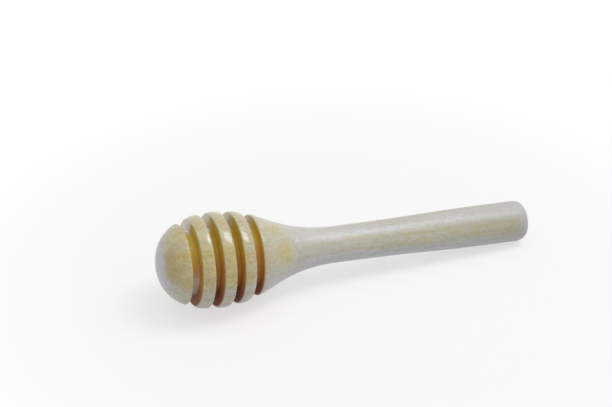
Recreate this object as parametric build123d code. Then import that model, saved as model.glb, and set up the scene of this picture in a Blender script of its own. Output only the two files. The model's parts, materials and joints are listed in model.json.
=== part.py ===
from build123d import *
import os
from math import radians, tan

# A small turned wooden honey dipper, lying on a table as it is put down in use, in millimetres.
# It is a grooved head, a handle whose tenon is glued into the head, and the glue between them.
# Each piece is turned from a half section: X runs along the axis from the nose tip, Y is the radius.
# The last section turns the pieces and lays them on the table, nose towards -X.

# Outside shape: lengths along the axis
nose_length = 12.0       # nose tip to the belly, the widest place of the head
flare_length = 25.8      # belly to the neck, the narrowest place of the handle
grip_length = 36.4       # neck to the swell near the end of the handle
butt_length = 5.8        # swell to the flat butt

# Outside shape: diameters
belly_width = 19.2
neck_width = 7.5
grip_width = 8.5

# How full each curve of the outline is, as shares of its own rise and run
nose_rise_share = 0.695
nose_run_share = 0.56
shoulder_share = 0.42
foot_share = 0.555
neck_run_share = 0.60
swell_run_share = 0.50

# Sanded-over corner of the butt
butt_round_length = 1.8
butt_round_depth = 1.1

# Grooves turned into the head
groove_count = 4
first_groove = 5.1       # nose tip to the first groove
groove_width = 1.75
land_width = 2.5         # the ring of wood left between two grooves
land_crown = 0.15        # how far a ring falls away from its middle to its rims
groove_depth = 3.4       # measured at the belly, and all the floors are level
rim_round = 0.35         # sanded rims of the rings
floor_round = 0.4        # corners of the groove floors

# Joint between the head and the handle
head_length = 27.5       # nose tip to the glued shoulder
tenon_width = 5.6
tenon_length = 12.0
glue_gap = 0.1           # glue all round the tenon
pocket_gap = 0.8         # glue ahead of the tenon
tenon_chamfer = 0.5
mouth_chamfer = 0.4      # countersink that takes the squeezed-out glue
drill_point_angle = 118.0

# Helper values
overrun = 2.0            # how far a cut passes the surface
slack = 0.001            # how closely a corner has to lie on a groove wall
full_tilt = 20.0         # degrees, steeper than a dipper of this kind can lie
halvings = 24            # rounds that narrow the lean down to a millionth of a degree

belly_radius = belly_width / 2
neck_radius = neck_width / 2
grip_radius = grip_width / 2
core_radius = belly_radius - groove_depth
tenon_radius = tenon_width / 2
bore_radius = tenon_radius + glue_gap

belly_reach = nose_length
neck_reach = belly_reach + flare_length
swell_reach = neck_reach + grip_length
butt_reach = swell_reach + butt_length
corner_reach = butt_reach - butt_round_length
tenon_reach = head_length - tenon_length
floor_reach = tenon_reach - pocket_gap
point_reach = floor_reach - bore_radius / tan(radians(drill_point_angle / 2))
groove_starts = [first_groove + i * (groove_width + land_width) for i in range(groove_count)]
grooves_end = groove_starts[-1] + groove_width

shoulder = Plane((head_length, 0), z_dir=(1, 0, 0))


# The whole outside, as one smooth line from the nose tip to the butt
def dipper_section():
    nose = Bezier(
        (0, 0),
        (0, nose_rise_share * belly_radius),
        (belly_reach - nose_run_share * nose_length, belly_radius),
        (belly_reach, belly_radius),
    )
    flare = Bezier(
        (belly_reach, belly_radius),
        (belly_reach + shoulder_share * flare_length, belly_radius),
        (neck_reach - foot_share * flare_length, neck_radius),
        (neck_reach, neck_radius),
    )
    grip = Bezier(
        (neck_reach, neck_radius),
        (neck_reach + neck_run_share * grip_length, neck_radius),
        (swell_reach - swell_run_share * grip_length, grip_radius),
        (swell_reach, grip_radius),
    )
    face_radius = grip_radius - butt_round_depth
    band = Line((swell_reach, grip_radius), (corner_reach, grip_radius))
    corner = EllipticalCenterArc((corner_reach, face_radius), butt_round_length, butt_round_depth)
    butt = Line((butt_reach, face_radius), (butt_reach, 0))
    axis_line = Line((butt_reach, 0), (0, 0))
    return make_face([nose, flare, grip, band, corner, butt, axis_line])


# How far the outside lies from the axis at a place along it
def radius_at(section, place):
    return (section & Line((place, 0), (place, belly_width))).edge().length


# All that is turned away between the first groove and the last, down to the level of their floors
def cleared_section():
    length, depth = grooves_end - first_groove, groove_depth + overrun
    return Pos(first_groove + length / 2, core_radius + depth / 2) * Rectangle(length, depth)


# One ring left standing between two grooves, with a gently rounded top
def ring_section(outside, start):
    end, middle = start + land_width, start + land_width / 2
    left_rim = (start, radius_at(outside, start) - land_crown)
    right_rim = (end, radius_at(outside, end) - land_crown)
    crown = ThreePointArc(left_rim, (middle, radius_at(outside, middle)), right_rim)
    foot = Polyline(right_rim, (end, 0), (start, 0), left_rim)
    return make_face([crown, foot])


# The hole drilled into the head from the shoulder: drill point, straight wall and countersunk mouth
def bore_section():
    outline = Polyline(
        (point_reach, 0),
        (floor_reach, bore_radius),
        (head_length - mouth_chamfer, bore_radius),
        (head_length, bore_radius + mouth_chamfer),
        (head_length, 0),
        close=True,
    )
    return make_face(outline)


# The peg of the handle that goes into the bore, with its tip chamfered
def tenon_section():
    outline = Polyline(
        (tenon_reach, 0),
        (tenon_reach, tenon_radius - tenon_chamfer),
        (tenon_reach + tenon_chamfer, tenon_radius),
        (head_length, tenon_radius),
        (head_length, 0),
        close=True,
    )
    return make_face(outline)


# The corners at both ends of a groove's side wall, floor corner first
def wall_corners(section, wall):
    return section.vertices().filter_by_position(Axis.X, wall - slack, wall + slack).sort_by(Axis.Y)


# Nose dome, rings and the thick half of the flare, bored for the tenon
def head_section():
    outside = split(dipper_section(), shoulder, keep=Keep.BOTTOM)
    section = outside - cleared_section()
    for start in groove_starts[:-1]:
        section += ring_section(outside, start + groove_width)
    walls = [start + side for start in groove_starts for side in (0, groove_width)]
    section = fillet([wall_corners(section, wall)[0] for wall in walls], floor_round)
    section = fillet([wall_corners(section, wall)[-1] for wall in walls], rim_round)
    return section - bore_section()


# The thin half of the flare, the grip and the butt, with the tenon on its shoulder
def handle_section():
    return split(dipper_section(), shoulder, keep=Keep.TOP) + tenon_section()


# The glue fills what the tenon leaves of the bore
def glue_section():
    return bore_section() - tenon_section()


# Lowest height of a piece when the dipper leans by so many degrees, butt down
def low_height(piece, lean):
    return piece.rotate(Axis.Y, lean).bounding_box().min.Z


# The lean at which the head and the butt touch the table together
def table_lean(front, back):
    low, high = 0, full_tilt
    for _ in range(halvings):
        middle = (low + high) / 2
        if low_height(front, middle) < low_height(back, middle):
            low = middle
        else:
            high = middle
    return middle


# Turn the pieces, then lay them on the table with the middle of their box over the origin
sections = {"head": head_section(), "handle": handle_section(), "glue_line": glue_section()}
turned = {name: revolve(section, Axis.X) for name, section in sections.items()}
lean = table_lean(turned["head"], turned["handle"])
leaning = {name: Rot(0, lean, 0) * piece for name, piece in turned.items()}
box = Compound([*leaning.values()]).bounding_box()
lying = {name: Pos(-box.center().X, 0, -box.min.Z) * piece for name, piece in leaning.items()}

os.makedirs("parts", exist_ok=True)
for name, piece in lying.items():
    export_step(piece, f"parts/{name}.step")
    print(name, "solids", len(piece.solids()), "volume", round(piece.volume, 2))
print("lean in degrees", round(lean, 4), "box", box.size)
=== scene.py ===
import bisect
import bpy
import json
import math
from types import SimpleNamespace
from mathutils import Color, Matrix, Vector
from mathutils.geometry import interpolate_bezier


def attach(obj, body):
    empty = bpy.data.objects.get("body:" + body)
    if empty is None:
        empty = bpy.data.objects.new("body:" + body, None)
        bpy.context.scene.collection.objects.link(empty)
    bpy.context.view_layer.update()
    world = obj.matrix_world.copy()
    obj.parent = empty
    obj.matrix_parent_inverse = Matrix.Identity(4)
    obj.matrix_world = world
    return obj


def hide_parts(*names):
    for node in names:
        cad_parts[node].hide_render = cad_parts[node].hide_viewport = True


# A small turned wooden honey dipper that lies on a white table, nose to the left.
# The head and the handle are two lathe-turned pieces of wood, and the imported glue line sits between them.
# Lengths are in metres. Colours are given as they look on a screen, 0 to 255, and tints multiply them.

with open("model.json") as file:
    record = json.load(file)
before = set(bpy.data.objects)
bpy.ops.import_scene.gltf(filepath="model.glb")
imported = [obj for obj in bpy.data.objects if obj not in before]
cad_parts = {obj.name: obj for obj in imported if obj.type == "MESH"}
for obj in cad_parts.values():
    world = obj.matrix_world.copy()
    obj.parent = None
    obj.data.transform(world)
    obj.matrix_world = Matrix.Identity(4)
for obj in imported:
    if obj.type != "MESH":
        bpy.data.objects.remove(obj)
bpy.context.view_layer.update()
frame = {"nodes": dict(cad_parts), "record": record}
print("frame loaded:", sorted(frame["nodes"]))

# The whole outline, as the lathe cut it: nose, flare, grip and butt
outlineSizes = {
    "noseLength": 0.0120,
    "flareLength": 0.0258,
    "gripLength": 0.0364,
    "buttLength": 0.0058,
    "bellyWidth": 0.0192,
    "neckWidth": 0.0075,
    "gripWidth": 0.0085,
    "noseRiseShare": 0.695,
    "noseRunShare": 0.56,
    "shoulderShare": 0.42,
    "footShare": 0.555,
    "neckRunShare": 0.60,
    "swellRunShare": 0.50,
    "buttRoundLength": 0.0018,
    "buttRoundDepth": 0.0011,
    "buttRoundSteps": 10,
    "curveSteps": 240,
}

# Where the dipper lies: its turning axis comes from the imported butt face
buttMount = next(mount for mount in frame["record"]["mounts"] if mount["name"] == "butt_face")
turningAxis = Vector(buttMount["axis"]).normalized()
dipperLength = sum(outlineSizes[part] for part in ("noseLength", "flareLength", "gripLength", "buttLength"))
noseTip = Vector(buttMount["pos_m"]) - dipperLength * turningAxis
lean = math.asin(-turningAxis.z)  # butt down, nose up


# Half sections: points (x, r), x along the axis from the nose tip, r out from it

def bezierStretch(start, startPull, endPull, end):
    return interpolate_bezier(start, startPull, endPull, end, outlineSizes["curveSteps"])


def dipperOutline():
    size = outlineSizes
    bellyRadius = size["bellyWidth"] / 2
    neckRadius = size["neckWidth"] / 2
    gripRadius = size["gripWidth"] / 2
    neckX = size["noseLength"] + size["flareLength"]
    swellX = neckX + size["gripLength"]
    nose = bezierStretch(
        (0, 0),
        (0, size["noseRiseShare"] * bellyRadius),
        ((1 - size["noseRunShare"]) * size["noseLength"], bellyRadius),
        (size["noseLength"], bellyRadius))
    flare = bezierStretch(
        (size["noseLength"], bellyRadius),
        (size["noseLength"] + size["shoulderShare"] * size["flareLength"], bellyRadius),
        (neckX - size["footShare"] * size["flareLength"], neckRadius),
        (neckX, neckRadius))
    grip = bezierStretch(
        (neckX, neckRadius),
        (neckX + size["neckRunShare"] * size["gripLength"], neckRadius),
        (swellX - size["swellRunShare"] * size["gripLength"], gripRadius),
        (swellX, gripRadius))
    return nose + flare[1:] + grip[1:]


outline = dipperOutline()


def radiusAt(x):
    place = bisect.bisect_left(outline, x, lo=1, hi=len(outline) - 1, key=lambda point: point.x)
    before, after = outline[place - 1], outline[place]
    return before.y + (after.y - before.y) * (x - before.x) / (after.x - before.x)


def stretch(start, end, every):
    return [point for point in outline[::every] if start < point.x < end]


def roundedCorner(before, corner, after, radius, steps):
    toBefore, toAfter = (before - corner).normalized(), (after - corner).normalized()
    half = toBefore.angle(toAfter) / 2
    centre = corner + (toBefore + toAfter).normalized() * radius / math.sin(half)
    reach = radius / math.tan(half)
    first = (corner + toBefore * reach - centre).normalized()
    last = (corner + toAfter * reach - centre).normalized()
    return [centre + first.slerp(last, step / steps) * radius for step in range(steps + 1)]


# Turns (point, rounding) pairs into a polyline whose rounded corners are short arcs
def softened(corners, steps):
    points = []
    for place, (corner, rounding) in enumerate(corners):
        if rounding:
            points += roundedCorner(corners[place - 1][0], corner, corners[place + 1][0], rounding, steps)
        else:
            points.append(corner)
    return points


def sharp(points):
    return [(point, 0) for point in points]


headSizes = {
    "name": "wooden_head",
    "length": 0.0275,        # nose tip to the glued shoulder
    "grooveCount": 4,
    "firstGroove": 0.0051,
    "grooveWidth": 0.00175,
    "landWidth": 0.0025,     # the ring of wood between two grooves
    "landCrown": 0.00015,    # how far a ring falls from its middle to its rims
    "crownShares": (-0.6, -0.4, -0.2, 0, 0.2, 0.4, 0.6),  # where a ring's points are, 1 at the rims
    "grooveDepth": 0.0034,   # below the belly
    "rimRound": 0.00035,
    "rimClear": 0.0007,      # the outline's own points keep this far from a rim
    "floorRound": 0.0004,
    "boreWidth": 0.0058,
    "boreDepth": 0.0128,     # shoulder to the end of the straight wall
    "drillPoint": 118,       # degrees
    "mouthChamfer": 0.0004,
    "easedEdge": 0.00003,    # the hairline at the joint
    "edgeClear": 0.00012,    # the outline's own points keep this far from the joint
    "rimHighlightReach": 0.0006,       # how far the painted highlight along a groove's rim reaches
    "every": 12,             # one outline point in so many is kept
    "cornerSteps": 6,
    "turns": 176,            # points round the axis
    "unevenness": 0.0025,    # share of the radius
    "seed": 4.0,
}

handleSizes = {
    "name": "wooden_handle",
    "tenonWidth": 0.0056,
    "tenonLength": 0.0120,
    "tenonChamfer": 0.0005,
    "every": 10,
    "cornerSteps": 4,
    "turns": 144,
    "unevenness": 0.0035,
    "seed": 11.0,
}

grooveStarts = [headSizes["firstGroove"] + step * (headSizes["grooveWidth"] + headSizes["landWidth"])
                for step in range(headSizes["grooveCount"])]
groovesEnd = grooveStarts[-1] + headSizes["grooveWidth"]
grooveWalls = [start + side for start in grooveStarts for side in (0, headSizes["grooveWidth"])]
coreRadius = outlineSizes["bellyWidth"] / 2 - headSizes["grooveDepth"]


# Where a groove's side wall comes out, lower on a ring than on the dome and the flare
def rimPoint(wall):
    ofRing = grooveStarts[0] < wall < groovesEnd
    return Vector((wall, radiusAt(wall) - (headSizes["landCrown"] if ofRing else 0)))


# The rounded top of a ring between its rims
def ringTop(start):
    half = headSizes["landWidth"] / 2
    points = []
    for share in headSizes["crownShares"]:
        x = start + half + share * half
        points.append(Vector((x, radiusAt(x) - headSizes["landCrown"] * share ** 2)))
    return points


def headSection():
    size = headSizes
    corners = sharp([Vector((0, 0))] + stretch(0, grooveStarts[0] - size["rimClear"], size["every"]))
    for start in grooveStarts:
        end = start + size["grooveWidth"]
        corners += [
            (rimPoint(start), size["rimRound"]),
            (Vector((start, coreRadius)), size["floorRound"]),
            (Vector((end, coreRadius)), size["floorRound"]),
            (rimPoint(end), size["rimRound"]),
        ]
        if start != grooveStarts[-1]:
            corners += sharp(ringTop(end))
    boreRadius = size["boreWidth"] / 2
    boreEnd = size["length"] - size["boreDepth"]
    pointDepth = boreRadius / math.tan(math.radians(size["drillPoint"] / 2))
    flareStart, flareEnd = groovesEnd + size["rimClear"], size["length"] - size["edgeClear"]
    corners += sharp(stretch(flareStart, flareEnd, size["every"]))
    corners += [(Vector((size["length"], radiusAt(size["length"]))), size["easedEdge"])]
    corners += sharp([
        Vector((size["length"], boreRadius + size["mouthChamfer"])),
        Vector((size["length"] - size["mouthChamfer"], boreRadius)),
        Vector((boreEnd, boreRadius)),
        Vector((boreEnd - pointDepth, 0)),
    ])
    return softened(corners, size["cornerSteps"])


def handleSection():
    size = handleSizes
    tenonRadius = size["tenonWidth"] / 2
    seamX = headSizes["length"]
    tenonTip = seamX - size["tenonLength"]
    faceRadius = outlineSizes["gripWidth"] / 2 - outlineSizes["buttRoundDepth"]
    cornerX = dipperLength - outlineSizes["buttRoundLength"]
    corners = sharp([
        Vector((tenonTip, 0)),
        Vector((tenonTip, tenonRadius - size["tenonChamfer"])),
        Vector((tenonTip + size["tenonChamfer"], tenonRadius)),
        Vector((seamX, tenonRadius)),
    ])
    corners += [(Vector((seamX, radiusAt(seamX))), headSizes["easedEdge"])]
    corners += sharp(stretch(seamX + headSizes["edgeClear"], cornerX, size["every"]))
    steps = outlineSizes["buttRoundSteps"]
    for step in range(steps + 1):
        angle = math.pi / 2 * step / steps
        corners += sharp([Vector((cornerX + outlineSizes["buttRoundLength"] * math.sin(angle),
                                  faceRadius + outlineSizes["buttRoundDepth"] * math.cos(angle)))])
    corners += sharp([Vector((dipperLength, 0))])
    return softened(corners, size["cornerSteps"])


# How deep in a groove a point lies, 0 at the rims to 1 on the floor, and 0 in the bore
def grooveDepthAt(point):
    width, rim = headSizes["grooveWidth"], headSizes["rimRound"]
    inGroove = any(start - rim < point.x < start + width + rim for start in grooveStarts)
    if not inGroove or point.y < coreRadius - headSizes["floorRound"]:
        return 0
    rimRadius = radiusAt(point.x) - headSizes["landCrown"]
    return max(0, min(1, (rimRadius - point.y) / (rimRadius - coreRadius)))


# How near a point is to a groove's rim, 1 on it and fading away from it, for the painted highlight along the
# rims
def rimAt(point):
    gap = min((point - rimPoint(wall)).length for wall in grooveWalls)
    return max(0, 1 - gap / headSizes["rimHighlightReach"])


# What each point of a half section knows, for the finishes
sectionMarks = {"groove": grooveDepthAt, "rim": rimAt}


# Nodes, for shapes and finishes alike

class Flow:  # one output of a node, so that sums and products of flows add Math nodes
    def __init__(self, board, socket):
        self.board = board
        self.socket = socket

    def __add__(self, other):
        return self.board.maths("ADD", self, other)

    def __sub__(self, other):
        return self.board.maths("SUBTRACT", self, other)

    def __rsub__(self, other):
        return self.board.maths("SUBTRACT", other, self)

    def __mul__(self, other):
        return self.board.maths("MULTIPLY", self, other)

    def __truediv__(self, other):
        return self.board.maths("DIVIDE", self, other)

    def __rtruediv__(self, other):
        return self.board.maths("DIVIDE", other, self)

    __radd__ = __add__
    __rmul__ = __mul__


class Board:  # a node tree that is being filled
    def __init__(self, tree):
        self.tree = tree
        self.tree.nodes.clear()

    def node(self, kind, settings=None, sockets=None, output=0):
        made = self.tree.nodes.new(kind)
        for name, value in (settings or {}).items():
            setattr(made, name, value)
        for name, value in (sockets or {}).items():
            if isinstance(value, Flow):
                self.tree.links.new(value.socket, made.inputs[name])
            else:
                made.inputs[name].default_value = value
        return Flow(self, made.outputs[output]) if made.outputs else made

    def outputs(self, kind, settings=None, sockets=None):
        first = self.node(kind, settings, sockets)
        return [Flow(self, socket) for socket in first.socket.node.outputs]

    def maths(self, operation, *values):
        return self.node("ShaderNodeMath", {"operation": operation}, dict(enumerate(values)))

    def vector(self, operation, *values, output="Vector"):
        return self.node("ShaderNodeVectorMath", {"operation": operation}, dict(enumerate(values)), output)

    def length(self, place):
        return self.vector("LENGTH", place, output="Value")

    def blend(self, factor, first, second, mode="MIX"):
        settings = {"data_type": "RGBA", "blend_type": mode}
        return self.node("ShaderNodeMix", settings, {0: factor, 6: first, 7: second}, output=2)

    def ease(self, value, low, high, toLow=0, toHigh=1):
        return self.node("ShaderNodeMapRange", {"interpolation_type": "SMOOTHSTEP"}, {
            "Value": value, "From Min": low, "From Max": high, "To Min": toLow, "To Max": toHigh})

    def noise(self, place, repeats, detail, roughness):
        return self.node("ShaderNodeTexNoise", {}, {
            "Vector": self.vector("MULTIPLY", place, repeats),
            "Scale": 1,
            "Detail": detail,
            "Roughness": roughness,
        })


def addToScene(name, data):
    thing = bpy.data.objects.new(name, data)
    bpy.context.scene.collection.objects.link(thing)
    return thing


# The lathe: spins a half section round its axis, then lays it along the dipper

latheSizes = {
    "wanderScale": 130,      # size of the unevenness, per metre
    "wanderDetail": 2,
    "mergeDistance": 5e-7,   # closes the seam and the poles
    "rowNudge": 0.5,         # in points, so that no row's first point falls into the row before
}

latheInputs = {
    "Half Section": "NodeSocketGeometry",
    "Turns": "NodeSocketInt",
    "Unevenness": "NodeSocketFloat",
    "Seed": "NodeSocketFloat",
    "Merge Distance": "NodeSocketFloat",
    "Lean": "NodeSocketFloat",
    "Nose Tip": "NodeSocketVector",
    "Finish": "NodeSocketMaterial",
}


def latheTree():
    tree = bpy.data.node_groups.new("turnOnLathe", "GeometryNodeTree")
    for name, kind in latheInputs.items():
        tree.interface.new_socket(name, in_out="INPUT", socket_type=kind)
    tree.interface.new_socket("Turned Piece", in_out="OUTPUT", socket_type="NodeSocketGeometry")

    # one row of the grid for each point of the half section, one column for each step round
    board = Board(tree)
    given = dict(zip(latheInputs, board.outputs("NodeGroupInput")))
    section, turns = given["Half Section"], given["Turns"]
    rows = board.node("GeometryNodeAttributeDomainSize", {"component": "MESH"}, {"Geometry": section})
    columns = turns + 1
    grid = board.node("GeometryNodeMeshGrid", {}, {"Vertices X": rows, "Vertices Y": columns})
    index = board.node("GeometryNodeInputIndex")
    row = board.maths("FLOOR", (index + latheSizes["rowNudge"]) / columns)
    angle = (index - row * columns) / turns * math.tau
    sine, cosine = board.maths("SINE", angle), board.maths("COSINE", angle)

    def fromSection(kind, value):
        return board.node("GeometryNodeSampleIndex", {"data_type": kind}, {
            "Geometry": section, "Value": value, "Index": row})

    sectionPoint = fromSection("FLOAT_VECTOR", board.node("GeometryNodeInputPosition"))
    along, radius, _ = board.outputs("ShaderNodeSeparateXYZ", {}, {0: sectionPoint})
    perfect = board.node("ShaderNodeCombineXYZ", {}, {0: along, 1: radius * cosine, 2: radius * sine})
    wander = board.node("ShaderNodeTexNoise", {"noise_dimensions": "4D"}, {
        "Vector": perfect,
        "W": given["Seed"],
        "Scale": latheSizes["wanderScale"],
        "Detail": latheSizes["wanderDetail"],
    })
    wornAndShaded = radius * (1 - wander * given["Unevenness"])  # the wood only ever loses a little
    turned = board.node("ShaderNodeCombineXYZ", {}, {0: along, 1: wornAndShaded * cosine, 2: wornAndShaded * sine})
    turnDown = board.node("ShaderNodeCombineXYZ", {}, {1: given["Lean"]})

    shape = board.node("GeometryNodeSetPosition", {}, {"Geometry": grid, "Position": turned})
    for name in sectionMarks:
        mark = board.node("GeometryNodeInputNamedAttribute", {"data_type": "FLOAT"}, {"Name": name})
        shape = board.node("GeometryNodeStoreNamedAttribute", {"data_type": "FLOAT", "domain": "POINT"}, {
            "Geometry": shape, "Name": name, "Value": fromSection("FLOAT", mark)})
    for kind, sockets in (
            ("GeometryNodeMergeByDistance", {"Distance": given["Merge Distance"]}),
            ("GeometryNodeTransform", {"Translation": given["Nose Tip"], "Rotation": turnDown}),
            ("GeometryNodeSetShadeSmooth", {}),
            ("GeometryNodeRealizeInstances", {}),
            ("GeometryNodeSetMaterial", {"Material": given["Finish"]})):
        shape = board.node(kind, {}, {"Geometry": shape, **sockets})
    board.node("NodeGroupOutput", {}, {0: shape})
    return tree


lathe = latheTree()


def facingOut(mesh):
    return sum(face.area * face.center.dot(face.normal) for face in mesh.polygons) > 0


def turnedPiece(size, section, finish):
    half = bpy.data.meshes.new(size["name"] + "_section")
    half.from_pydata([(point.x, point.y, 0) for point in section],
                     [(place, place + 1) for place in range(len(section) - 1)], [])
    for name, measure in sectionMarks.items():
        mark = half.attributes.new(name, "FLOAT", "POINT")
        mark.data.foreach_set("value", [measure(point) for point in section])
    blank = addToScene(size["name"] + "_blank", half)
    turning = blank.modifiers.new("turnOnLathe", "NODES")
    turning.node_group = lathe
    values = {
        "Turns": size["turns"],
        "Unevenness": size["unevenness"],
        "Seed": size["seed"],
        "Merge Distance": latheSizes["mergeDistance"],
        "Lean": lean,
        "Nose Tip": noseTip,
        "Finish": finish,
    }
    for socket in lathe.interface.items_tree:
        if socket.in_out == "INPUT" and socket.name in values:
            turning[socket.identifier] = values[socket.name]
    evaluated = blank.evaluated_get(bpy.context.evaluated_depsgraph_get())
    mesh = bpy.data.meshes.new_from_object(evaluated)
    blank.modifiers.remove(turning)
    bpy.data.objects.remove(blank)
    mesh.name = size["name"]
    if not facingOut(mesh):
        mesh.flip_normals()
    print(size["name"], "has", len(mesh.polygons), "faces")
    return addToScene(size["name"], mesh)


# Finishes

screenWhite = 255  # the level of white on a screen
noiseMiddle = 0.5  # the level that a noise wanders round


def shade(red, green, blue):  # a colour as it looks on a screen
    levels = Color((red, green, blue)) / screenWhite
    return (*levels.from_srgb_to_scene_linear(), 1)


def sway(mark, amount):  # how far a noise moves something to either side
    return (mark - noiseMiddle) * amount


def newFinish(name):
    material = bpy.data.materials.new(name)
    material.use_nodes = True
    return material, Board(material.node_tree)


def close(board, surface):
    board.node("ShaderNodeOutputMaterial", {}, {"Surface": surface})


def objectPlace(board):
    return board.node("ShaderNodeTexCoord", output="Object")


def distanceFromAxis(board, place):
    return board.length(board.vector("MULTIPLY", place, (0, 1, 1)))


# Places on the dipper: along the turning axis from the nose tip, out from the axis,
# up, 1 on the top line, and front, 1 on the line that faces the camera's side
def axisPlace(board):
    toNose = Matrix.Rotation(-lean, 3, "Y") @ -noseTip
    place = board.node("ShaderNodeMapping", {}, {
        "Vector": objectPlace(board), "Location": toNose, "Rotation": (0, -lean, 0)})
    out = distanceFromAxis(board, place)
    along, side, height = board.outputs("ShaderNodeSeparateXYZ", {}, {0: place})
    return SimpleNamespace(place=place, along=along, out=out, up=height / out, front=0 - side / out)


# How the wood of both pieces grew and was turned
woodPattern = {
    # repeats per metre along and across the grain, detail and roughness
    "inTree": {
        "drift": ((14, 90, 90), 3, 0.5),
        "streaks": ((45, 1150, 1150), 4, 0.62),
        "fibres": ((210, 5200, 5200), 3, 0.6),
        "flecks": ((430, 4300, 560), 1, 0.5),
        "patches": ((60, 170, 170), 2, 0.5),
        "mottles": ((420, 1300, 1300), 3, 0.65),
        "speckles": ((900, 2100, 2100), 3, 0.7),
    },
    # fine rings that the tool and the sandpaper left, repeats per metre along the axis and out from it
    "onLathe": {
        "fineRings": ((5200, 5200, 0), 3, 0.6),
        "broadRings": ((1500, 1500, 0), 2, 0.5),
    },
    # levels between which a mark comes out
    "shown": {
        "patches": (0.32, 0.68),
        "streaks": (0.42, 0.72),
        "fibres": (0.50, 0.75),
        "flecks": (0.60, 0.72),
        "speckles": (0.42, 0.66),
    },
    "lateWoodRise": (0.35, 0.92),  # shares of a year's ring
    "lateWoodFall": (1.0, 0.94),
}


# Lays a paint, which is a colour and its strength, over part of the wood
def painted(board, colour, part, paint):
    tint, strength = paint
    return board.blend(part * strength, colour, tint)


# The marks of the wood: growth rings round the tree's middle, fibres along it, flecks across it,
# and what the lathe left
def woodMarks(board, at, wood):
    pattern = woodPattern
    inTree = board.node("ShaderNodeMapping", {}, {
        "Vector": at.place,
        "Location": wood["pith"],
        "Rotation": [math.radians(turn) for turn in wood["grainTurn"]],
    })
    onLathe = board.node("ShaderNodeCombineXYZ", {}, {0: at.along, 1: at.out})
    grown, turned = {**pattern["inTree"], **wood["moreMarks"]}, pattern["onLathe"]
    marks = {name: board.noise(inTree, *noise) for name, noise in grown.items()}
    marks.update({name: board.noise(onLathe, *noise) for name, noise in turned.items()})
    rings = distanceFromAxis(board, inTree) * wood["ringsPerMetre"] + marks["drift"] * wood["ringDrift"]
    year = board.maths("FRACT", rings)
    rise, fall = board.ease(year, *pattern["lateWoodRise"]), board.ease(year, *pattern["lateWoodFall"])
    marks["lateWood"] = rise * fall
    return marks


def woodColour(board, wood, marks):
    shown = {name: board.ease(marks[name], *levels) for name, levels in woodPattern["shown"].items()}
    shown["lateWood"] = marks["lateWood"]
    colour = board.blend(shown["patches"], wood["pale"], wood["warm"])
    for name in ("lateWood", "streaks", "fibres", "flecks", "speckles"):
        colour = painted(board, colour, shown[name], wood[name])
    return colour


# Fine variation of a colour between the two tints of each mark
def varied(board, wood, marks, colour):
    for name, (first, second, levels) in wood["variation"].items():
        tint = board.blend(board.ease(marks[name], *levels), first, second)
        colour = board.blend(1, colour, tint, "MULTIPLY")
    return colour


def woodBump(board, wood, marks):
    ofFibres, ofFine, ofBroad = wood["bumpShares"]
    height = marks["fibres"] * ofFibres + marks["fineRings"] * ofFine + marks["broadRings"] * ofBroad
    return board.node("ShaderNodeBump", {}, {"Height": height, "Distance": wood["bump"]})


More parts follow.
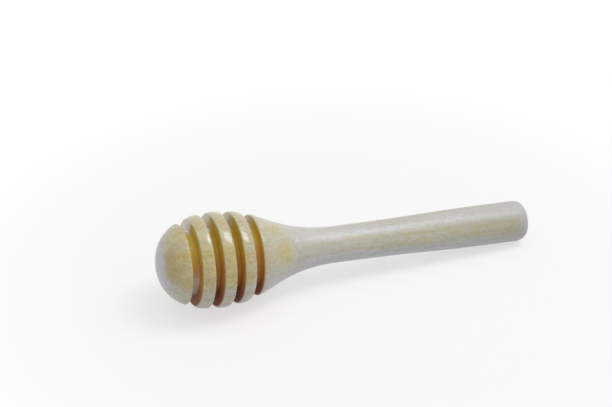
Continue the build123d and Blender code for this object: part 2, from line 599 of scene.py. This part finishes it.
headWood = {
    "pith": (0.0, 0.017, 0.031),           # where the tree's middle is
    "grainTurn": (0.0, 1.1, -1.6),         # degrees
    "ringsPerMetre": 430,
    "ringDrift": 1.1,                      # in rings
    "pale": shade(210, 203, 181),
    "warm": shade(204, 194, 161),
    # paints: the colour and strength of each mark
    "lateWood": (shade(188, 171, 129), 0.28),
    "streaks": (shade(190, 175, 135), 0.35),
    "fibres": (shade(184, 169, 128), 0.28),
    "flecks": (shade(170, 149, 102), 0.22),
    "speckles": (shade(168, 146, 96), 0.42),
    "broadRings": (shade(188, 171, 129), 0.16),
    "broadRingsShown": (0.4, 0.75),
    # fine variation: two tints, lighter to darker or peach to straw, and the levels they change between
    "variation": {
        "speckles": ((1.03, 1.04, 1.06, 1), (0.97, 0.955, 0.93, 1), (0.36, 0.64)),
        "blush": ((1.025, 0.985, 0.985, 1), (0.98, 1.015, 1.015, 1), (0.38, 0.62)),
    },
    # marks whose size is this piece's own, in the form of those in the tree
    "moreMarks": {
        "blush": ((500, 1100, 1100), 2, 0.5),
        "blotches": ((300, 460, 460), 2, 0.5),
    },
    # painted highlight: a paler line along the rims of the grooves, where their rounded edges catch the
    # light
    "rims": (shade(212, 204, 180), 0.16),
    "rimsShown": (0.1, 0.9),
    "dryFlare": (shade(206, 203, 192), 0.65),
    "dryFlareAlong": (0.0185, 0.0225),
    # the greyer nose tip: partly bare wood where the film thins out, partly painted reflection of the white
    # surroundings, seen there at a grazing angle
    "nose": (shade(204, 202, 203), 0.5),
    "noseAlong": (0.0015, 0.0003),
    "noseMottle": 0.5,
    # how far the patches and the mottles move the edges below, and how far that carries each edge
    "patchDrift": 0.3,
    "mottleDrift": 0.25,
    "alongDrift": 0.002,
    "backDrift": 2,
    "smearDrift": 0.008,
    "dryAndLitTopDrift": 1.6,
    # the upper side has soaked up a clear film: it is tinted and glossier, and weaker along the flare.
    # two numbers say where an edge starts and is full, four also say what it goes from and to
    "filmTint": (0.96, 0.83, 0.32, 1),
    "filmBlotch": 1.9,                     # how much the blotches in it differ
    "filmUp": (-0.22, 0.08),
    "filmTop": (0.62, 0.86, 1.0, 0.62),
    "filmNose": (0.0003, 0.0011),
    "filmBack": (0.05, -0.45),             # the back of the dome stayed dry, see front
    "filmBackStart": 0.0048,               # so far along does the film start there
    "filmFades": (0.0130, 0.0195, 1.0, 0.54),
    "filmEnds": (0.0240, 0.0275, 1.0, 0.45),
    # two stronger smears on the flare
    "smears": (
        {"middle": (0.0246, -0.0052, 0.0031), "squeeze": (1.4, 1, 1),
         "fades": (0.0056, 0.0008), "strength": 0.92},
        {"middle": (0.0231, -0.0017, 0.0062), "squeeze": (1, 1.2, 1),
         "fades": (0.0040, 0.0010), "strength": 0.80},
    ),
    # the darker edge of the film on the dome
    "edgeTint": (0.84, 0.76, 0.60, 1),
    "edgeStart": (0.0005, 0.0010),
    "edgeEnd": (0.0038, 0.0014),
    "edgeUp": (-0.30, 0.10),
    "edgeTop": (1.0, 0.88),
    # the grooves are soaked through: amber on top, brown underneath, cloudy low in the first one. The brown
    # underneath is partly the stain and partly painted shade, darker lower down
    "highStain": shade(217, 186, 63),
    "middleStain": shade(213, 159, 67),
    "lowStainAndShade": shade(165, 96, 53),
    "highStainFrom": (0.011, 0.0165),      # heights above the table
    "lowStainAndShadeFrom": (0.0112, 0.0040),
    "heightDrift": 0.004,
    "stainStreaks": (shade(140, 92, 26), 0.25),
    "cloudyStain": (shade(222, 206, 194), 0.7),
    "cloudyAlong": (0.0069, 0.0065),
    "cloudyHeight": (0.0125, 0.0095),
    "dryAndLitTop": (-0.05, -0.28),              # where the back of the top is left unstained, see front: partly dry wood, partly painted light on the groove walls there
    "dryAndLitTopUp": (0.3, 0.7),
    "dryAndLitTopStrength": 0.9,
    "stainRim": (0.02, 0.14),              # share of a groove's depth where the stain sets in
    "stainRimDrift": 0.06,
    # gloss and relief
    "roughness": 0.44,
    "filmRoughness": 0.26,
    "grooveRoughness": 0.62,
    "coat": (0.4, 1.0),                    # where it is dry and under the film
    "coatMottle": (0.35, 0.60, 0.75, 1),
    "coatLostToStain": 0.95,
    "coatIndex": 1.66,
    "coatRoughness": 0.075,
    "bumpShares": (0.5, 0.5, 0.4),         # of the fibres, the fine and the broad rings
    "bump": 0.000018,
}


# Where the film lies, and its darker edge
def soakedFilm(board, wood, at, marks, drift, wavy):
    film = board.ease(at.up + drift, *wood["filmUp"]) * board.ease(at.up, *wood["filmTop"])
    back = board.ease(at.front + drift * wood["backDrift"], *wood["filmBack"])
    film = film * board.ease(wavy - back * wood["filmBackStart"], *wood["filmNose"])
    film = film * board.ease(at.along, *wood["filmFades"]) * board.ease(at.along, *wood["filmEnds"])
    film = film * (1 + sway(marks["blotches"], wood["filmBlotch"]))
    for smear in wood["smears"]:
        offset = board.vector("SUBTRACT", at.place, smear["middle"])
        fromMiddle = board.length(board.vector("MULTIPLY", offset, smear["squeeze"]))
        faded = board.ease(fromMiddle + drift * wood["smearDrift"], *smear["fades"]) * smear["strength"]
        film = board.maths("MAXIMUM", film, faded)
    edge = board.ease(wavy, *wood["edgeStart"]) * board.ease(wavy, *wood["edgeEnd"])
    edge = edge * board.ease(at.up, *wood["edgeUp"]) * board.ease(at.up, *wood["edgeTop"]) * (1 - back)
    return film, edge


# The stain of the grooves, and how far it covers the wood
def grooveStain(board, wood, at, marks, drift, groove):
    _, _, height = board.outputs("ShaderNodeSeparateXYZ", {}, {0: objectPlace(board)})
    height = height + sway(marks["patches"], wood["heightDrift"])
    stain = board.blend(board.ease(height, *wood["highStainFrom"]), wood["middleStain"], wood["highStain"])
    # partly painted shade: the stain turns darker towards the underside
    stain = board.blend(board.ease(height, *wood["lowStainAndShadeFrom"]), stain, wood["lowStainAndShade"])
    stain = painted(board, stain, marks["streaks"], wood["stainStreaks"])
    cloudy = board.ease(at.along, *wood["cloudyAlong"]) * board.ease(height, *wood["cloudyHeight"])
    stain = painted(board, stain, cloudy, wood["cloudyStain"])
    # the unstained back of the top: partly dry wood, partly painted light where the groove walls catch the
    # light
    dryAndLitTop = board.ease(at.front + drift * wood["dryAndLitTopDrift"], *wood["dryAndLitTop"])
    dryAndLitTop = dryAndLitTop * board.ease(at.up, *wood["dryAndLitTopUp"])
    soaked = board.ease(groove + sway(marks["streaks"], wood["stainRimDrift"]), *wood["stainRim"])
    return stain, soaked * (1 - dryAndLitTop * wood["dryAndLitTopStrength"])


def headFinish():
    wood = headWood
    material, board = newFinish("wetTurnedWood")
    at = axisPlace(board)
    marks = woodMarks(board, at, wood)
    groove, rim = [board.node("ShaderNodeAttribute", {"attribute_name": name}, output="Fac")
                   for name in sectionMarks]
    drift = sway(marks["patches"], wood["patchDrift"]) + sway(marks["mottles"], wood["mottleDrift"])
    wavy = at.along + drift * wood["alongDrift"]
    film, filmEdge = soakedFilm(board, wood, at, marks, drift, wavy)
    stain, soaked = grooveStain(board, wood, at, marks, drift, groove)

    broadRings = board.ease(marks["broadRings"], *wood["broadRingsShown"])
    dryFlare = board.ease(at.along, *wood["dryFlareAlong"])
    # the greyer nose tip, partly painted reflection
    nose = board.ease(wavy + drift * wood["alongDrift"], *wood["noseAlong"])
    nose = nose * (1 + sway(marks["mottles"], wood["noseMottle"]))

    colour = painted(board, woodColour(board, wood, marks), broadRings, wood["broadRings"])
    colour = painted(board, colour, dryFlare, wood["dryFlare"])
    colour = varied(board, wood, marks, colour)
    colour = painted(board, colour, nose, wood["nose"])
    colour = board.blend(film, colour, wood["filmTint"], "MULTIPLY")
    colour = board.blend(filmEdge, colour, wood["edgeTint"], "MULTIPLY")
    # the painted highlight along the rims of the grooves
    colour = painted(board, colour, board.ease(rim, *wood["rimsShown"]), wood["rims"])
    colour = board.blend(soaked, colour, stain)

    dryCoat, filmCoat = wood["coat"]
    coat = (film * (filmCoat - dryCoat) + dryCoat) * board.ease(marks["mottles"], *wood["coatMottle"])
    roughness = board.ease(film, 0, 1, wood["roughness"], wood["filmRoughness"])
    surface = board.node("ShaderNodeBsdfPrincipled", {}, {
        "Base Color": colour,
        "Roughness": board.maths("MAXIMUM", roughness, soaked * wood["grooveRoughness"]),
        "Coat Weight": coat * (1 - soaked * wood["coatLostToStain"]),
        "Coat IOR": wood["coatIndex"],
        "Coat Roughness": wood["coatRoughness"],
        "Normal": woodBump(board, wood, marks),
    })
    close(board, surface)
    return material


handleWood = {
    # where a name is the same as in headWood, it means the same
    "pith": (0.0, -0.026, 0.022),
    "grainTurn": (0.0, -0.8, 1.3),
    "ringsPerMetre": 480,
    "ringDrift": 1.0,
    "pale": shade(209, 209, 200),
    "warm": shade(203, 200, 184),
    "lateWood": (shade(189, 178, 154), 0.30),
    "streaks": (shade(189, 178, 152), 0.35),
    "fibres": (shade(187, 176, 152), 0.3),
    "flecks": (shade(176, 160, 128), 0.25),
    "speckles": (shade(180, 165, 130), 0.34),
    "variation": {
        "blush": ((1.012, 0.990, 0.997, 1), (0.993, 1.003, 1.0, 1), (0.38, 0.62)),
    },
    "moreMarks": {
        "blush": ((190, 620, 620), 2, 0.5),
    },
    # a mottled tan stripe along the front, fainter all over the top and the back. The mottles are the wood's
    # own; the rest is painted reflection: the tan lies where the camera looks straight at the wood, and the
    # underside and the butt's corner stay grey, as the reflection of the white table and surroundings greys
    # them
    "tanTint": (0.963, 0.866, 0.57, 1),
    "tanPatchDrift": 0.5,
    "tanStreakDrift": 0.3,
    "tanLow": (-0.22, 0.14),               # how high it starts and ends, see up
    "tanHigh": (0.92, 0.60),
    "tanFront": (-0.1, 0.1),
    "tanMottle": (0.34, 0.62, 0.55, 1),
    "tanAlong": (0.029, 0.042, 0.45, 1.0),
    "tanTop": (0.1, 0.6, 0, 0.30),
    "tanEnd": (0.0785, 0.0770),            # the corner of the butt is plain again
    "buttShadeTint": (0.90, 0.90, 0.91, 1),
    "wornAndShaded": (0.055, 0.078, 0.0, 0.8),      # painted shade: the butt end is a little darker and greyer
    "sheen": (0.029, 0.050, 0.56, 0.10),   # it fades along the handle
    "roughness": 0.46,
    "streakRoughness": 0.2,
    "index": 1.6,
    "sheenIndex": 1.6,
    "sheenRoughness": 0.38,
    "bumpShares": (0.6, 0.3, 0.2),
    "bump": 0.000014,
}


def handleFinish():
    wood = handleWood
    material, board = newFinish("satinTurnedWood")
    at = axisPlace(board)
    marks = woodMarks(board, at, wood)
    # the tan stripe: partly the wood's own mottles, partly painted reflection, as it follows the side facing
    # the camera and spares the underside
    ragged = at.up + sway(marks["patches"], wood["tanPatchDrift"])
    ragged = ragged + sway(marks["streaks"], wood["tanStreakDrift"])
    stripe = board.ease(ragged, *wood["tanLow"]) * board.ease(ragged, *wood["tanHigh"])
    stripe = stripe * board.ease(at.front, *wood["tanFront"]) * board.ease(at.along, *wood["tanAlong"])
    stripe = stripe * board.ease(marks["mottles"], *wood["tanMottle"])
    tan = board.maths("MAXIMUM", stripe, board.ease(at.up, *wood["tanTop"]))
    tan = tan * board.ease(at.along, *wood["tanEnd"])
    colour = varied(board, wood, marks, woodColour(board, wood, marks))
    colour = board.blend(tan, colour, wood["tanTint"], "MULTIPLY")
    # painted shade that darkens the butt end
    colour = board.blend(board.ease(at.along, *wood["wornAndShaded"]), colour, wood["buttShadeTint"], "MULTIPLY")
    surface = board.node("ShaderNodeBsdfPrincipled", {}, {
        "Base Color": colour,
        "Roughness": wood["roughness"] + sway(marks["streaks"], wood["streakRoughness"]),
        "IOR": wood["index"],
        "Coat Weight": board.ease(at.along, *wood["sheen"]),
        "Coat IOR": wood["sheenIndex"],
        "Coat Roughness": wood["sheenRoughness"],
        "Normal": woodBump(board, wood, marks),
    })
    close(board, surface)
    return material


dryGlue = {
    "clear": shade(232, 220, 180),
    "cloudy": shade(206, 186, 132),
    "clouds": ((900, 900, 900), 4, 0.5),   # repeats per metre, detail and roughness
    "cloudsShown": (0.35, 0.7),
    "bubbles": 2600,                       # per metre
    "roughness": 0.30,
    "cloudRoughness": 0.2,
    "bump": 0.00002,
}


def glueFinish():
    glue = dryGlue
    material, board = newFinish("driedGlue")
    place = objectPlace(board)
    clouds = board.noise(place, *glue["clouds"])
    bubbles = board.node("ShaderNodeTexVoronoi", {}, {"Vector": place, "Scale": glue["bubbles"]})
    surface = board.node("ShaderNodeBsdfPrincipled", {}, {
        "Base Color": board.blend(board.ease(clouds, *glue["cloudsShown"]), glue["clear"], glue["cloudy"]),
        "Roughness": glue["roughness"] + clouds * glue["cloudRoughness"],
        "Normal": board.node("ShaderNodeBump", {}, {"Height": bubbles + clouds, "Distance": glue["bump"]}),
    })
    close(board, surface)
    return material


head = turnedPiece(headSizes, headSection(), headFinish())
handle = turnedPiece(handleSizes, handleSection(), handleFinish())
for piece, node, slotName in ((head, "head", "head_wood"), (handle, "handle", "handle_wood")):
    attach(piece, "root")
    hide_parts(node)

glueLine = frame["nodes"]["glue_line"]
glueLine.data.materials.clear()
glueLine.data.materials.append(glueFinish())
print("pieces turned and finished")

# The table, the lights and the camera

studio = {
    "tableWidth": 6.0,
    "tableColour": shade(255, 248, 229),   # turns the cool light of the sky into white
    "bounceColour": shade(222, 222, 224),  # what the dipper's underside gets back from it
    "white": shade(255, 255, 255),
    "whiteBetween": (0.045, 0.095),        # distances over which the table turns plain white
    "shadowShare": 0.38,                   # how much of the shadow shows
    "skyColour": shade(218, 225, 255),
    "skyLevel": 0.64,
    "aimShare": 0.25,                      # the lamps aim at this share of the dipper's length
    # azimuths are in degrees round from +X, powers in watts
    "lamps": {
        "softbox": {
            "azimuth": -11, "elevation": 61, "distance": 1.3, "width": 0.50, "height": 0.78,
            "power": 6.2, "colour": shade(238, 245, 255)},
        "overheadPanel": {
            "azimuth": 0, "elevation": 90, "distance": 1.1, "width": 1.4, "height": 1.4,
            "power": 2.6, "colour": shade(255, 255, 255)},
    },
}


# How much of a ray is one that has to see plain white: from the camera, a reflection or a pass through
def seesWhite(board):
    camera, glossy, through = [board.node("ShaderNodeLightPath", output=name)
                               for name in ("Is Camera Ray", "Is Glossy Ray", "Is Transmission Ray")]
    return board.ease(camera + glossy + through, 0, 1)


def makeTable():
    half = studio["tableWidth"] / 2
    corners = [(-half, -half, 0), (half, -half, 0), (half, half, 0), (-half, half, 0)]
    mesh = bpy.data.meshes.new("tableTop")
    mesh.from_pydata(corners, [], [range(len(corners))])
    table = addToScene("tableTop", mesh)
    material, board = newFinish("whiteTable")
    seen = seesWhite(board)
    far = board.ease(board.length(objectPlace(board)), *studio["whiteBetween"], 1 - studio["shadowShare"], 1)
    tableColour = board.blend(seen, studio["bounceColour"], studio["tableColour"])
    matt = board.node("ShaderNodeBsdfDiffuse", {}, {"Color": tableColour})
    white = board.node("ShaderNodeEmission", {}, {"Color": studio["white"]})
    close(board, board.node("ShaderNodeMixShader", {}, {0: far * seen, 1: matt, 2: white}))
    mesh.materials.append(material)


def makeSky():
    world = bpy.data.worlds.new("studioAir")
    bpy.context.scene.world = world
    world.use_nodes = True
    board = Board(world.node_tree)
    soft = board.node("ShaderNodeBackground", {}, {
        "Color": studio["skyColour"], "Strength": studio["skyLevel"]})
    white = board.node("ShaderNodeBackground", {}, {"Color": studio["white"]})
    mixed = board.node("ShaderNodeMixShader", {}, {0: seesWhite(board), 1: soft, 2: white})
    board.node("ShaderNodeOutputWorld", {}, {"Surface": mixed})


def direction(azimuth, elevation):
    turn, rise = math.radians(azimuth), math.radians(elevation)
    return Vector((math.cos(turn) * math.cos(rise), math.sin(turn) * math.cos(rise), math.sin(rise)))


def makeLamp(name, lamp):
    light = bpy.data.lights.new(name, "AREA")
    light.shape = "RECTANGLE"
    light.size, light.size_y = lamp["width"], lamp["height"]
    light.energy = lamp["power"]
    light.color = lamp["colour"][:3]
    stand = addToScene(name, light)
    toLamp = direction(lamp["azimuth"], lamp["elevation"])
    aim = noseTip + turningAxis * dipperLength * studio["aimShare"]
    stand.location = aim + toLamp * lamp["distance"]
    stand.rotation_euler = toLamp.to_track_quat("Z", "Y").to_euler()


cameraSizes = {
    "azimuth": -110.3,                     # where it stands, degrees round from +X
    "elevation": 31.69,
    "lens": 100,                           # millimetres, like the sensor
    "sensorWidth": 36,
    "bellyX": 0.01309,                     # a point inside the belly, so far from the nose tip
    "bellySeen": (-0.017003, -0.011043, -0.33807),  # that point, right of, above and behind the camera
}


def makeCamera():
    data = bpy.data.cameras.new("photoCamera")
    data.lens = cameraSizes["lens"]
    data.sensor_width = cameraSizes["sensorWidth"]
    body = addToScene("photoCamera", data)
    back = direction(cameraSizes["azimuth"], cameraSizes["elevation"])
    right = Vector((0, 0, 1)).cross(back).normalized()
    turned = Matrix((right, back.cross(right), back)).transposed()
    belly = noseTip + turningAxis * cameraSizes["bellyX"]
    body.location = belly - turned @ Vector(cameraSizes["bellySeen"])
    body.rotation_euler = turned.to_euler()
    bpy.context.scene.camera = body


makeTable()
makeSky()
for name, lamp in studio["lamps"].items():
    makeLamp(name, lamp)
makeCamera()
bpy.context.scene.view_settings.view_transform = "Standard"
print("table, lamps and camera are set")
